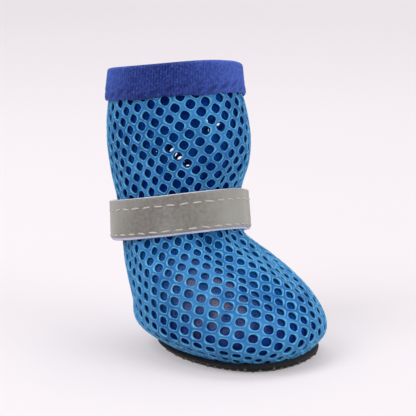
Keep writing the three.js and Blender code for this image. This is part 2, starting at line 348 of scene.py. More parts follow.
def build_net(name, hole, bands, seed=3, jitter=0.06, inside_light=None):
    """A fabric net with real holes. hole(cells, theta) is each hole's radius; bands are
    (share of the way from strand middle to hole, height, rim) from top middle to back middle."""
    rng = np.random.default_rng(seed)
    border = cell_border()
    nb = len(border)
    B = border @ ROT.T
    theta = np.arctan2(border[:, 1], border[:, 0])
    centres = CELLS
    nc = len(centres)
    R = hole(centres, theta)                                   # nc x nb
    Hd = np.stack([np.cos(theta), np.sin(theta)], -1)
    H = (R[..., None]*Hd) @ ROT.T                              # hole loop about the centre
    Hj = H + rng.normal(0, jitter, (nc, 1, 2))
    flat_border = centres[:, None, :] + B[None]
    # shared border points
    key = np.round(flat_border.reshape(-1, 2)/0.02).astype(np.int64)
    # merge within a cell of the rounding grid
    uniq, inverse = np.unique(key, axis=0, return_inverse=True)
    inverse = inverse.ravel()
    first = np.full(len(uniq), -1); first[inverse[::-1]] = np.arange(len(inverse))[::-1]
    # near-equal keys that fell on both sides of a rounding line
    order = {}
    remap = np.arange(len(uniq))
    for n, (kx, ky) in enumerate(uniq.tolist()):
        hit = None
        for dx in (-1, 0, 1):
            for dy in (-1, 0, 1):
                if (kx + dx, ky + dy) in order:
                    hit = order[(kx + dx, ky + dy)]
        if hit is None:
            order[(kx, ky)] = n
        else:
            remap[n] = hit
    used, compact = np.unique(remap, return_inverse=True)
    bid = compact.ravel()[inverse].reshape(nc, nb)
    bpos = flat_border.reshape(-1, 2)[first[used]]
    flat_pts = [bpos]; heights = [np.full(len(bpos), bands[0][1])]; rims = [np.full(len(bpos), bands[0][2])]
    ids = [bid]
    base = len(bpos)
    for share, height, rim in bands[1:-1]:
        p = flat_border*(1 - share) + (centres[:, None, :] + Hj)*share
        flat_pts.append(p.reshape(-1, 2)); heights.append(np.full(nc*nb, height)); rims.append(np.full(nc*nb, rim))
        ids.append(base + np.arange(nc*nb).reshape(nc, nb)); base += nc*nb
    flat_pts.append(bpos); heights.append(np.full(len(bpos), bands[-1][1])); rims.append(np.full(len(bpos), bands[-1][2]))
    ids.append(base + bid); base += len(bpos)
    F = np.concatenate(flat_pts); Hh = np.concatenate(heights); Rm = np.concatenate(rims)
    t, a, d = on_boot(F)
    # drop the cells that lie wholly off the cut piece
    cell_d = d[ids[1]].min(1)
    keep = cell_d < 1e-4
    faces = []
    for r in range(len(ids) - 1):
        p, q = ids[r][keep], ids[r + 1][keep]
        p2, q2 = np.roll(p, -1, 1), np.roll(q, -1, 1)
        faces.append(np.stack([p, p2, q2, q], -1).reshape(-1, 4))
    # the fabric's cut edge is closed with a wall, wherever a cell has no neighbour
    p, q = ids[0][keep], ids[-1][keep]
    p2, q2 = np.roll(p, -1, 1), np.roll(q, -1, 1)
    pair = np.sort(np.stack([p, p2], -1).reshape(-1, 2), 1)
    _, which, count = np.unique(pair, axis=0, return_inverse=True, return_counts=True)
    faces.append(np.stack([p2, p, q, q2], -1).reshape(-1, 4)[count[which.ravel()] == 1])
    faces = np.concatenate(faces)
    used_v, fi = np.unique(faces, return_inverse=True)
    fi = fi.reshape(faces.shape)
    pos = off(SECTIONS, t[used_v], a[used_v], Hh[used_v], folds=True)
    ok = np.array([len(set(f)) == 4 for f in fi.tolist()])
    ob = new_object(name, pos, fi[ok])
    attribute(ob, "rim", Rm[used_v])
    if inside_light is not None:
        attribute(ob, "inside_light", inside_light(t[used_v], a[used_v]))
        attribute(ob, "lit", lit_lining(t[used_v], a[used_v]))
    return ob


def hole_main(centres, theta):
    """Rounded diamonds up the shaft, a little smaller and rounder on the foot."""
    rng = np.random.default_rng(11)
    c, s = np.abs(np.cos(theta))[None], np.abs(np.sin(theta))[None]
    foot = (1 - smoothstep(on_boot(centres)[0], 4.4, 5.6))[:, None]
    rx, ry, p = 1.40, 1.52, 1.66 + 0.22*foot
    r = ((c/rx)**p + (s/ry)**p)**(-1/p)*(1 - 0.07*foot)
    return r*(1 + rng.normal(0, 0.03, (len(centres), 1)))


# the rim number of each band marks where the material paints its highlight (1) and its shade (0)
net = build_net("upper_mesh", hole_main, [
    (0.00, 0.02, 0.16), (0.50, 0.10, 0.58), (0.80, 0.22, 1.0), (1.00, -0.08, 1.0), (0.90, -0.66, 0.15), (0.0, -0.80, 0.0)])
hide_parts("upper"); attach(net, "root")
print("net tris", len(net.data.polygons)*2, "cells", len(CELLS))

# The fabric's inner face: a close dark knit with a small pore behind each big hole. A few
# places have worked open, (section, degrees), facing pairs on the near and far side.
WORN = [(8.59, -37.2), (8.59, -25.7), (8.22, -40.6), (7.63, -71.6), (7.32, -65.0), (7.00, -58.0),
        (8.77, 92.6), (8.78, 83.4), (8.39, 94.9), (7.72, 126.7), (7.44, 119.8), (7.14, 113.0),
        (8.60, 100.0), (7.60, 133.0), (8.20, 88.0)]
CELL_T, CELL_A, _ = on_boot(CELLS)
CELL_P = surf(SECTIONS, CELL_T, CELL_A)


def hole_lining(centres, theta):
    rng = np.random.default_rng(21)
    r = np.full(len(centres), 0.15)*(1 + rng.normal(0, 0.16, len(centres)))
    for t, a in WORN:
        d = np.linalg.norm(CELL_P - surf(SECTIONS, t, math.radians(a)), axis=1)
        r[np.argmin(d)] = 1.10 if a < 0 else 1.45
    return np.clip(r, 0.10, 1.45)[:, None]*np.ones_like(theta)[None]


def inside_light_patch(t, a):
    """Painted light: a soft patch on the foot part where the lining is painted pale pinkish grey, standing in for light
    coming through from inside.
    """
    a = (a + PI) % (2*PI) - PI
    return np.exp(-((t - 2.45)/0.95)**2 - ((np.abs(a) - math.radians(62))/math.radians(28))**2)


def lit_lining(t, a):
    """The upper side of the foot part lets more light through."""
    return smoothstep(t, 1.3, 2.5)*(1 - smoothstep(t, 4.2, 5.4)) + 0.35*smoothstep(t, 6.0, 7.5)*(1 - smoothstep(t, 8.0, 9.4))


lining = build_net("upper_lining", hole_lining, [
    (0.00, -0.90, 0.0), (0.70, -0.96, 0.4), (1.00, -1.00, 1.0), (1.00, -1.14, 1.0), (0.0, -1.14, 0.0)], inside_light=inside_light_patch)
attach(lining, "root")


# ---------------------------------------------------------------- ring bodies
def ring_object(name, around, profile):
    """profile: list of functions of the angle array -> points; a closed loop."""
    a = np.linspace(0, 2*PI, around, endpoint=False)
    V = np.concatenate([p(a) for p in profile])
    ob = new_object(name, V, grid_faces(len(profile), around, True, True))
    return face_out(ob)


def flat_of(t, a):
    """Where a point of the boot lies in the flat fabric (nearest by grid)."""
    nt, na = 41, 65
    tt = np.clip(np.asarray(t)/TOP*(nt - 1), 0, nt - 1 - 1e-6); aa = ((np.asarray(a) + PI) % (2*PI))/(2*PI)*(na - 1)
    i, j = tt.astype(int), np.minimum(aa.astype(int), na - 2)
    f, g = (tt - i)[..., None], (aa - j)[..., None]
    U = FLAT_U.reshape(nt, na, 2)
    return (U[i, j]*(1 - f)*(1 - g) + U[i + 1, j]*f*(1 - g) + U[i, j + 1]*(1 - f)*g + U[i + 1, j + 1]*f*g)


def lattice_bump(t, a):
    """1 over a strand of the mesh below, 0 over a hole."""
    U = flat_of(t, a)
    inv = np.linalg.inv(np.stack([B1, B2], 1))
    q = U @ inv.T
    i, j = q[..., 0], q[..., 1]
    w = (np.cos(2*PI*i) + np.cos(2*PI*j) + np.cos(2*PI*(i - j)))/3
    return 1 - np.clip((w + 0.5)/1.5, 0, 1)


def painted_side_light(a):
    """0 on the flat sides, 1 round the front and back: painted side light, the tape painted lighter where it turns
    towards the lamps at left and right.
    """
    return 0.5 - 0.5*np.cos(2*(a + math.radians(72)))


def make_binding():
    out, inner = GAP + BINDING_THICK, -(UPPER_WALL + GAP)
    in_out = inner - BINDING_THICK
    around = 900
    ribs = 150

    def rib_wave(a):
        return np.cos(ribs*a + 0.5*np.sin(3*a))

    def rib(a, t, amp=0.07):
        return amp*rib_wave(a)

    def hem(a):
        return BINDING_LOW - 0.055*lattice_bump(np.full_like(a, 9.6), a) + 0.02*np.sin(5*a + 1) + 0.014*np.sin(13*a)

    prof, dip_shade = [], []

    def add(share, d, ribamp=0.07, tele=0.0, rise=0.0, inside=False):
        def f(a, share=share, d=d, ribamp=ribamp, tele=tele, rise=rise, inside=inside):
            low = hem(a) if not inside else np.full_like(a, BINDING_LOW_INSIDE)
            t = low + (TOP - low)*share
            o = d + rib(a, t, ribamp)*(1 if not inside else -1)
            if tele:
                o = o + 1.5*tele*(lattice_bump(t, a) - 0.5)
            o = o + 0.10*np.sin(2*a + 3*share)*0.5 if not inside else o
            return off(SECTIONS, t, a, o, rise=np.full_like(a, rise))

        # painted shade: 1 where the tape dips into a mesh hole below, for darkening those dips
        def g(a, share=share, tele=tele):
            low = hem(a)
            return tele*(1 - lattice_bump(low + (TOP - low)*share, a))
        prof.append(f); dip_shade.append(g)

    add(0.0, GAP + 0.02, 0.0)
    add(0.0, GAP + 0.32, 0.03, 0.02)
    add(0.025, out - 0.10, 0.06, 0.08)
    for s, tele in ((0.07, 0.22), (0.13, 0.26), (0.19, 0.28), (0.25, 0.26), (0.31, 0.22), (0.38, 0.15), (0.46, 0.08),
                    (0.56, 0.03), (0.68, 0), (0.80, 0), (0.90, 0), (0.97, 0)):
        add(s, out + 0.10*math.sin(PI*s) - (0.06 if s < 0.34 else 0.0), 0.07, tele)
    for deg in (8, 28, 50, 72, 90, 108, 130, 152, 172):
        th = math.radians(deg)
        mid = (out + in_out)/2; rad = (out - in_out)/2
        add(1.0, mid + rad*math.cos(th), 0.05*abs(math.cos(th)), 0, rise=0.1 + 1.0*math.sin(th)**0.8)
    for s in (0.95, 0.8, 0.6, 0.4, 0.2, 0.0):
        add(s, in_out, 0.05, 0, inside=True)
    add(0.0, inner, 0.0, 0, inside=True)
    for s in (0.3, 0.6, 1.0):
        add(s, inner, 0.0, 0, inside=True)
    add(1.0, inner, 0, 0, rise=0.32)
    add(1.0, GAP, 0, 0, rise=0.32)
    for s in (0.8, 0.5, 0.25):
        add(s, GAP, 0.0, 0)
    ob = ring_object("collar_binding_tape", around, prof)
    a = np.linspace(0, 2*PI, around, endpoint=False)
    attribute(ob, "rib", np.tile(0.5 + 0.5*rib_wave(a), len(prof)))
    attribute(ob, "dip_shade", np.concatenate([g(a) for g in dip_shade])/0.28)
    attribute(ob, "side_light_share", np.tile(painted_side_light(a), len(prof)))
    return ob


binding = make_binding()
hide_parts("collar_binding"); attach(binding, "root")


# ---------------------------------------------------------------- strap
LAP = LAP_TO - LAP_FROM
TOTAL = 2*PI + LAP


def strap_angle(s):
    return LAP_FROM + s*TOTAL


def strap_lift(s):
    lo = 1 - (LAP + math.radians(34))/TOTAL
    hi = 1 - (LAP + math.radians(3))/TOTAL
    f = np.clip((s - lo)/(hi - lo), 0, 1)
    return (STRAP_THICK + PAD_THICK + 2*GAP)*f*f*(3 - 2*f)


# arc length along the strap, for even stitches
_s = np.linspace(0, 1, 800)
_p = off(STRAP_EDGES, np.full(800, 0.5), strap_angle(_s), STRAP_THICK + strap_lift(_s))
_len = np.concatenate([[0], np.linalg.norm(np.diff(_p, axis=0), axis=1).cumsum()])
STRAP_LENGTH = float(_len[-1])
s_at = lambda length: np.interp(length, _len, _s)
ROW_LOW, ROW_HIGH = 0.115, 0.745
WIDE = float(np.linalg.norm(surf(STRAP_EDGES, 1.0, -PI/2) - surf(STRAP_EDGES, 0.0, -PI/2)))


def strap_point(s, v, d, wave=True):
    s, v, d = np.broadcast_arrays(np.asarray(s, float), np.asarray(v, float), np.asarray(d, float))
    o = d + strap_lift(s)
    if wave:
        length = np.interp(s, _s, _len)
        o = o + 0.10*np.sin(length*0.21 + 0.8)*(v - 0.5) + 0.05*np.sin(length*0.5 + 3*v)
    return off(STRAP_EDGES, v, strap_angle(s), o)


def strip_object(name, stations, section, s0=0.0, s1=1.0):
    """section: list of functions of s -> (v, d); closed loop, with flat ends."""
    S = np.linspace(s0, s1, stations)
    cols = [strap_point(S, *f(S)) for f in section]
    V = np.stack(cols, 1).reshape(-1, 3)
    n = len(section)
    F = grid_faces(stations, n, False, True)
    c0, c1 = V[:n].mean(0), V[-n:].mean(0)
    V = np.concatenate([V, [c0, c1]])
    k0, k1 = len(V) - 2, len(V) - 1
    F += [(k0, (i + 1) % n, i) for i in range(n)]
    b = (stations - 1)*n
    F += [(k1, b + i, b + (i + 1) % n) for i in range(n)]
    ob = face_out(new_object(name, V, F))
    side_light_share = np.repeat(painted_side_light(strap_angle(S)), n)
    attribute(ob, "side_light_share", np.concatenate([side_light_share, [side_light_share[0], side_light_share[-1]]]))
    return ob


def pucker(s, v):
    """The tape dips a little at each row of stitches, deepest at the needle holes."""
    length = np.interp(s, _s, _len)
    ph = np.cos(2*PI*(length/STITCH_PITCH))
    out = 0
    for row in (ROW_LOW, ROW_HIGH):
        out = out - (0.10 + 0.05*ph)*np.exp(-((v - row)*WIDE/0.75)**2)
    return out


def const(v, d):
    return lambda S: (np.full_like(S, v), np.full_like(S, d))


def make_strap():
    sec = [const(-0.012, 0.05), const(0.3, 0.03), const(0.7, 0.03), const(1.004, 0.05),
           const(1.008, 0.30), const(1.0, 0.46), const(0.7, 0.46), const(0.3, 0.46),
           const(0.0, 0.50), const(-0.020, 0.40)]
    back = strip_object("strap_backing", 240, sec)
    tape_v = [0.045, 0.06, 0.085, 0.115, 0.145, 0.19, 0.27, 0.36, 0.45, 0.54, 0.62, 0.69, 0.72, 0.745, 0.77, 0.82, 0.88, 0.94, 0.975, 0.99]
    top = []
    for v in tape_v:
        edge = min(v - 0.045, 0.99 - v)
        h = STRAP_THICK - 0.02 - (0.16*(1 - min(edge/0.02, 1))**2)
        top.append((lambda v, h: (lambda S: (np.full_like(S, v), h + pucker(S, v))))(v, h))
    sec2 = [const(0.045, 0.48)] + top + [const(0.99, 0.48), const(0.7, 0.47), const(0.3, 0.47)]
    tape = strip_object("strap_reflective_tape", 460, sec2)
    # stitches: small flattened beads of thread
    V, F = [], []
    nu, nv = 7, 8
    count = int(STRAP_LENGTH/STITCH_PITCH)
    rng = np.random.default_rng(5)
    for row, shift in ((ROW_LOW, 0.3), (ROW_HIGH, 1.9)):
        for k in range(count):
            mid = (k + 0.5)*STITCH_PITCH + shift - 1.2
            if mid < 2 or mid > STRAP_LENGTH - 2:
                continue
            half = STITCH_LONG/2*(1 + rng.normal(0, 0.07))
            skew = rng.normal(0, 0.012)
            base = len(V)
            for i in range(nu):
                x = -1 + 2*i/(nu - 1)
                r = math.sqrt(max(1 - abs(x)**2.6, 0.03))
                for j in range(nv):
                    th = 2*PI*j/nv
                    L = mid + half*x
                    vv = row + skew*x + 0.29*r*math.cos(th)/WIDE
                    dd = STRAP_THICK - 0.10 + 0.24*r*math.sin(th) + 0.05*(1 - x*x)
                    V.append((float(s_at(L)), vv, dd))
            for i in range(nu - 1):
                for j in range(nv):
                    j2 = (j + 1) % nv
                    F.append((base + i*nv + j, base + i*nv + j2, base + (i + 1)*nv + j2, base + (i + 1)*nv + j))
            F.append(tuple(base + j for j in range(nv))[::-1])
            F.append(tuple(base + (nu - 1)*nv + j for j in range(nv)))
    V = np.array(V)
    P = strap_point(V[:, 0], V[:, 1], V[:, 2])
    st = face_out(new_object("strap_stitches", P, F))
    return back, tape, st


strap_back, strap_tape, strap_stitch = make_strap()
for o in (strap_back, strap_tape, strap_stitch):
    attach(o, "root")
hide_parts("strap")


def make_pad():
    S = np.linspace(math.radians(3), LAP - math.radians(3), 60)
    vs = np.linspace(0.1, 0.9, 18)
    rng = np.random.default_rng(8)
    A, Vv = np.meshgrid(LAP_FROM + S, vs, indexing="ij")
    lo = off(STRAP_EDGES, Vv, A, STRAP_THICK + GAP + 0.02*np.ones_like(A))
    hi = off(STRAP_EDGES, Vv, A, STRAP_THICK + GAP + PAD_THICK - 0.10 + rng.uniform(-0.08, 0.08, A.shape))
    n, m = A.shape
    P = np.concatenate([hi.reshape(-1, 3), lo.reshape(-1, 3)])
    F = grid_faces(n, m) + [tuple(reversed(f)) for f in grid_faces(n, m, base=n*m)]
    edge = [i*m for i in range(n)] + [(n - 1)*m + j for j in range(1, m)] + [i*m + m - 1 for i in range(n - 2, -1, -1)] + [j for j in range(m - 2, 0, -1)]
    for k in range(len(edge)):
        p, q = edge[k], edge[(k + 1) % len(edge)]
        F.append((p, q, q + n*m, p + n*m))
    return face_out(new_object("hook_and_loop_fastener", P, F))


pad = make_pad()
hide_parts("hook_and_loop_pad"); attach(pad, "root")


# ---------------------------------------------------------------- back tape
def make_back_tape():
    t0, t1 = SOLE_EDGE + 0.1, BINDING_LOW - 0.08
    n = 420
    s = np.linspace(0, 1, n)
    t = t0 + (t1 - t0)*s
    h = 0.02
    per = np.linalg.norm(surf(SECTIONS, t, PI + h) - surf(SECTIONS, t, PI - h), axis=1)/(2*h)
    mid = surf(SECTIONS, t, np.full(n, PI))
    length = np.concatenate([[0], np.linalg.norm(np.diff(mid, axis=0), axis=1).cumsum()])
    rib = 0.055*np.cos(2*PI*length/RIB_PITCH)
    sides = np.linspace(-1, 1, 17)
    cols = []
    for x in sides:
        dome = TAPE_THICK - 0.06 - 0.34*abs(x)**4
        groove = -0.16*math.exp(-((abs(x) - 0.70)/0.07)**2)      # row of sewing along each edge
        cols.append((x, dome + groove, 1.0))
    for x in sides[::-1][1:-1]:
        cols.append((x*0.97, 0.02, 0.0))
    pts = []
    for x, d, k in cols:
        a = PI + x*TAPE_WIDTH/2/per
        pts.append(off(SECTIONS, t, a, GAP + d + rib*k*(1 - abs(x)**8)))
    V = np.stack(pts, 1).reshape(-1, 3)
    m = len(cols)
    F = grid_faces(n, m, False, True)
    V = np.concatenate([V, [V[:m].mean(0), V[-m:].mean(0)]])
    k0, k1 = len(V) - 2, len(V) - 1
    F += [(k0, (i + 1) % m, i) for i in range(m)]
    b = (n - 1)*m
    F += [(k1, b + i, b + (i + 1) % m) for i in range(m)]
    ob = face_out(new_object("back_seam_tape", V, F))
    attribute(ob, "rib", np.concatenate([np.repeat(0.5 + 0.5*np.cos(2*PI*length/RIB_PITCH), m), [0.5, 0.5]]))
    attribute(ob, "side_light_share", np.full(len(V), 0.5)); attribute(ob, "dip_shade", np.zeros(len(V)))
    return ob


back_tape = make_back_tape()
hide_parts("back_tape"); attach(back_tape, "root")


# ---------------------------------------------------------------- sole and insole
def plate_object(name, around, rings, pole0, pole1):
    a = np.linspace(0, 2*PI, around, endpoint=False)
    V = np.concatenate([r(a) for r in rings])
    F = grid_faces(len(rings), around, False, True)
    V = np.concatenate([V, [pole0, pole1]])
    k0, k1 = len(V) - 2, len(V) - 1
    b = (len(rings) - 1)*around
    F += [(k0, (i + 1) % around, i) for i in range(around)]
    F += [(k1, b + i, b + (i + 1) % around) for i in range(around)]
    return face_out(new_object(name, V, F))


DOT_RISE = 0.26
FULL = GAP + SOLE_WALL


def flat0(a, out, z):
    p = off(SECTIONS, np.zeros_like(a), a, np.full_like(a, out)); p[..., 2] = z
    return p


def scaled0(a, k, z):
    p = off(SECTIONS, np.zeros_like(a), a, np.full_like(a, -UPPER_WALL))*k; p[..., 2] = z
    return p


def on0(a, t, out):
    return off(SECTIONS, np.full_like(a, t), a, np.full_like(a, out))


def sole_profile():
    """Outside of the sole from under its edge up to its rim, as functions of the angle."""
    z0 = DOT_RISE
    return [
        lambda a: flat0(a, -2.2, z0), lambda a: flat0(a, -1.2, z0), lambda a: flat0(a, -0.3, z0 + 0.03),
        lambda a: flat0(a, 0.35, z0 + 0.14), lambda a: flat0(a, 0.95, z0 + 0.36), lambda a: flat0(a, 1.5, z0 + 0.68),
        lambda a: flat0(a, 2.0, z0 + 1.05), lambda a: on0(a, SOLE_EDGE*0.5, FULL), lambda a: on0(a, SOLE_EDGE*0.75, FULL - 0.02),
    ]


def make_sole():
    z0 = DOT_RISE
    rim = lambda a: 0.05*np.sin(9*a + 0.7) + 0.035*np.sin(23*a)
    rings = [lambda a, k=k: scaled0(a, k, z0) for k in (0.3, 0.6, 0.85)] + sole_profile() + [
        lambda a: on0(a, SOLE_EDGE*0.98, FULL - 0.08) + np.stack([0*a, 0*a, rim(a)], -1),
        lambda a: on0(a, SOLE_EDGE*1.04, FULL - 0.35) + np.stack([0*a, 0*a, rim(a)], -1),
        lambda a: on0(a, SOLE_EDGE*1.02, GAP + 0.25) + np.stack([0*a, 0*a, rim(a)], -1),
        lambda a: on0(a, SOLE_EDGE*0.95, GAP + 0.02), lambda a: flat0(a, GAP*1.5, 2.15), lambda a: flat0(a, GAP*0.2, SOLE_FLOOR),
    ] + [lambda a, k=k: scaled0(a, k, SOLE_FLOOR) for k in (0.85, 0.6, 0.3)]
    return plate_object("sole_shell", 220, rings, (0, 0, z0), (0, 0, SOLE_FLOOR))


sole = make_sole()
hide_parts("sole"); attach(sole, "root")


def make_dots():
    """Rubber dots on a hexagonal grid, over the bottom and round onto the edge."""
    prof = sole_profile()[1:]
    A = np.linspace(0, 2*PI, 361)
    G = np.stack([f(A) for f in prof])                        # rings x angle x 3
    inner_r = np.linalg.norm(G[0, :, :2], axis=1)
    seg = np.linalg.norm(np.diff(G, axis=0), axis=2)
    run = np.concatenate([np.zeros((1, len(A))), seg.cumsum(0)])
    ang = np.unwrap(np.arctan2(G[0, :, 1], G[0, :, 0]))
    V, F = [], []
    nv = 8
    prof_dot = [(1.0, 0.0), (0.86, 0.55), (0.5, 0.9)]
    rows = int(60/(DOT_PITCH*0.866))
    for j in range(-rows, rows + 1):
        for i in range(-30, 31):
            x = (i + 0.5*(j % 2))*DOT_PITCH; y = j*DOT_PITCH*0.866
            turn = math.radians(11)
            x, y = x*math.cos(turn) - y*math.sin(turn), x*math.sin(turn) + y*math.cos(turn)
            r = math.hypot(x, y); th = math.atan2(y, x)
            if r < 1e-6:
                th = 0.0
            thu = th if th >= ang[0] else th + 2*PI
            ir = float(np.interp(thu, ang, inner_r))
            idx = float(np.interp(thu, ang, np.arange(len(A))))
            k = int(idx); f = idx - k; k2 = min(k + 1, len(A) - 1)
            if r <= ir:
                p = np.array([x, y, DOT_RISE]); n = np.array([0, 0, -1.0])
            else:
                rr = run[:, k]*(1 - f) + run[:, k2]*f
                line = G[:, k]*(1 - f) + G[:, k2]*f
                d = r - ir
                if d > rr[-1] - 0.25:
                    continue
                m = int(np.searchsorted(rr, d) - 1); m = max(0, min(m, len(rr) - 2))
                g = (d - rr[m])/(rr[m + 1] - rr[m])
                p = line[m]*(1 - g) + line[m + 1]*g
                tan = line[m + 1] - line[m]
                rnd = G[m, (k + 1) % 360] - G[m, k - 1 if k else 359]
                n = np.cross(tan, rnd); n = n/np.linalg.norm(n)
                if np.dot(n, np.array([p[0], p[1], -6.0])) < 0:
                    n = -n
            e1 = np.cross(n, [0.3, 0.9, 0.1]); e1 /= np.linalg.norm(e1); e2 = np.cross(n, e1)
            rad = 0.46
            base = len(V)
            V.extend((p - n*0.06 + rad*1.02*(math.cos(q)*e1 + math.sin(q)*e2)).tolist() for q in np.arange(nv)*2*PI/nv)
            for kk, hh in prof_dot:
                V.extend((p + n*(hh*0.22 + 0.01) + rad*kk*(math.cos(q)*e1 + math.sin(q)*e2)).tolist() for q in np.arange(nv)*2*PI/nv)
            for lvl in range(len(prof_dot)):
                for q in range(nv):
                    q2 = (q + 1) % nv
                    F.append((base + lvl*nv + q, base + lvl*nv + q2, base + (lvl + 1)*nv + q2, base + (lvl + 1)*nv + q))
            F.append(tuple(base + q for q in range(nv))[::-1])
            V.append((p + n*0.24).tolist())
            top = len(V) - 1
            b = base + len(prof_dot)*nv
            for q in range(nv):
                F.append((b + q, b + (q + 1) % nv, top))
    return face_out(new_object("sole_dots", np.array(V), F))


dots = make_dots()
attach(dots, "root")


def make_insole():
    low, high = SOLE_FLOOR + GAP, SOLE_FLOOR + GAP + INSOLE_THICK
    e = lambda a, out, z: flat0(a, out - UPPER_WALL - GAP, z)
    rings = [lambda a, k=k: scaled0(a, k, low) for k in (0.4, 0.8)] + [
        lambda a: e(a, -0.5, low), lambda a: e(a, -0.22, low + 0.25), lambda a: e(a, -0.2, low + 0.6),
        lambda a: e(a, -0.3, high - 0.35), lambda a: e(a, -0.7, high - 0.1), lambda a: e(a, -1.3, high - 0.02)] + [
        lambda a, k=k: scaled0(a, k, high - 0.10*(1 - k)) for k in (0.8, 0.6, 0.4, 0.2)]
    return plate_object("insole_pad", 120, rings, (0, 0, low), (0, 0, high - 0.12))


insole = make_insole()
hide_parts("insole"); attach(insole, "root")


# ---------------------------------------------------------------- materials
def srgb(r, g, b):
    f = lambda c: c/12.92 if c <= 0.04045 else ((c + 0.055)/1.055)**2.4
    return (f(r/255), f(g/255), f(b/255), 1.0)


class Mat:
    def __init__(self, name, rough=0.7, spec=0.4, sheen=0.0, metal=0.0):
        self.m = bpy.data.materials.new(name); self.m.use_nodes = True
        self.nt = self.m.node_tree
        self.b = next(n for n in self.nt.nodes if n.type == "BSDF_PRINCIPLED")
        self.b.inputs["Roughness"].default_value = rough
        self.b.inputs["Specular IOR Level"].default_value = spec
        self.b.inputs["Metallic"].default_value = metal
        if sheen:
            self.b.inputs["Sheen Weight"].default_value = sheen
            self.b.inputs["Sheen Roughness"].default_value = 0.45
        self.co = self.nt.nodes.new("ShaderNodeTexCoord")

    def n(self, kind, **kw):
        node = self.nt.nodes.new(kind)
        for k, v in kw.items():
            setattr(node, k, v)
        return node

    def link(self, a, b):
        self.nt.links.new(a, b)

    def obj(self, scale=(1, 1, 1)):
        mp = self.n("ShaderNodeMapping"); mp.inputs["Scale"].default_value = scale
        self.link(self.co.outputs["Object"], mp.inputs["Vector"])
        return mp.outputs["Vector"]

    def noise(self, scale, detail=3.0, rough=0.55, vec=None, distort=0.0):
        nz = self.n("ShaderNodeTexNoise")
        nz.inputs["Scale"].default_value = scale; nz.inputs["Detail"].default_value = detail
        nz.inputs["Roughness"].default_value = rough; nz.inputs["Distortion"].default_value = distort
        self.link(vec if vec is not None else self.co.outputs["Object"], nz.inputs["Vector"])
        return nz.outputs["Fac"]

    def attr(self, name):
        at = self.n("ShaderNodeAttribute"); at.attribute_name = name
        return at.outputs["Fac"]

    def math(self, op, a, b=None, c=None, clamp=False):
        m = self.n("ShaderNodeMath", operation=op); m.use_clamp = clamp
        for k, v in enumerate((a, b, c)):
            if v is None:
                continue
            if isinstance(v, (int, float)):
                m.inputs[k].default_value = v
            else:
                self.link(v, m.inputs[k])
        return m.outputs[0]

    def ramp(self, fac, stops, interp="LINEAR"):
        r = self.n("ShaderNodeValToRGB"); r.color_ramp.interpolation = interp
        el = r.color_ramp.elements
        while len(el) > 1:
            el.remove(el[-1])
        el[0].position, el[0].color = stops[0]
        for p, c in stops[1:]:
            e = el.new(p); e.color = c
        self.link(fac, r.inputs["Fac"])
        return r.outputs["Color"]

    def mix(self, fac, a, b, mode="MIX"):
        m = self.n("ShaderNodeMix"); m.data_type = "RGBA"; m.blend_type = mode
        if isinstance(fac, (int, float)):
            m.inputs["Factor"].default_value = fac
        else:
            self.link(fac, m.inputs["Factor"])
        for name, v in (("A", a), ("B", b)):
            i = next(x for x in m.inputs if x.name == name and x.type == "RGBA")
            if isinstance(v, tuple):
                i.default_value = v
            else:
                self.link(v, i)
        return next(x for x in m.outputs if x.type == "RGBA")

    def bump(self, height, strength=0.5, dist=0.0002, normal=None):
        b = self.n("ShaderNodeBump"); b.inputs["Strength"].default_value = strength
        b.inputs["Distance"].default_value = dist
        self.link(height, b.inputs["Height"])
        if normal is not None:
            self.link(normal, b.inputs["Normal"])
        return b.outputs["Normal"]

    def color(self, c):
        self.link(c, self.b.inputs["Base Color"])

    def rough(self, r):
        self.link(r, self.b.inputs["Roughness"])

    def normal(self, n):
        self.link(n, self.b.inputs["Normal"])


def assign(ob, m):
    ob.data.materials.clear(); ob.data.materials.append(m.m)


# blue open mesh: painted highlight, a lighter blue on the raised ridge and edge round each hole, and painted shade, a
# deeper blue along the strand's low middle and on its back
m = Mat("mesh_fabric_blue", rough=0.60, spec=0.26, sheen=0.04)
# random patches where the painted highlight is weaker
patchy_highlight = m.ramp(m.noise(430, 2, 0.5), [(0.36, (0.52, 0.52, 0.52, 1)), (0.60, (1, 1, 1, 1))])
base = m.ramp(m.math("MULTIPLY", m.attr("rim"), patchy_highlight), [(0.0, srgb(6, 80, 140)), (0.40, srgb(12, 98, 158)), (0.95, srgb(100, 184, 224))])
fine = m.noise(2600, 3, 0.6)
large = m.noise(70, 2, 0.5)
c = m.mix(m.math("MULTIPLY", fine, 0.40), base, srgb(6, 62, 132))
c = m.mix(m.ramp(large, [(0.42, (0, 0, 0, 1)), (0.62, (0.25, 0.25, 0.25, 1))]), c, srgb(84, 168, 222))
m.color(c)
knit = m.n("ShaderNodeTexWave"); knit.wave_type = "BANDS"; knit.bands_direction = "DIAGONAL"
knit.inputs["Scale"].default_value = 900; knit.inputs["Distortion"].default_value = 3.0; knit.inputs["Detail"].default_value = 1.0
m.link(m.co.outputs["Object"], knit.inputs["Vector"])
m.normal(m.bump(knit.outputs["Fac"], 0.55, 0.00012, m.bump(fine, 0.5, 0.0001)))
assign(net, m)

# the close knit behind it
m = Mat("lining_navy", rough=0.9, spec=0.05)
fine = m.noise(2400, 3, 0.6); mid = m.noise(330, 2, 0.5)
c = m.ramp(mid, [(0.30, srgb(0, 22, 84)), (0.52, srgb(0, 42, 116)), (0.72, srgb(2, 66, 146))])
c = m.mix(m.math("MULTIPLY", m.attr("lit"), 0.75), c, srgb(2, 84, 150))
c = m.mix(m.math("MULTIPLY", fine, 0.35), c, srgb(0, 18, 70))
# painted light: pale pinkish grey mixed into the lining over the patch on the foot part
pale = m.math("MULTIPLY", m.attr("inside_light"), m.ramp(m.noise(300, 2, 0.5), [(0.40, (0.12, 0.12, 0.12, 1)), (0.62, (1, 1, 1, 1))]))
c = m.mix(m.math("MULTIPLY", pale, 0.80), c, srgb(122, 112, 124))
m.color(c)
m.normal(m.bump(fine, 0.7, 0.00015))
assign(lining, m)

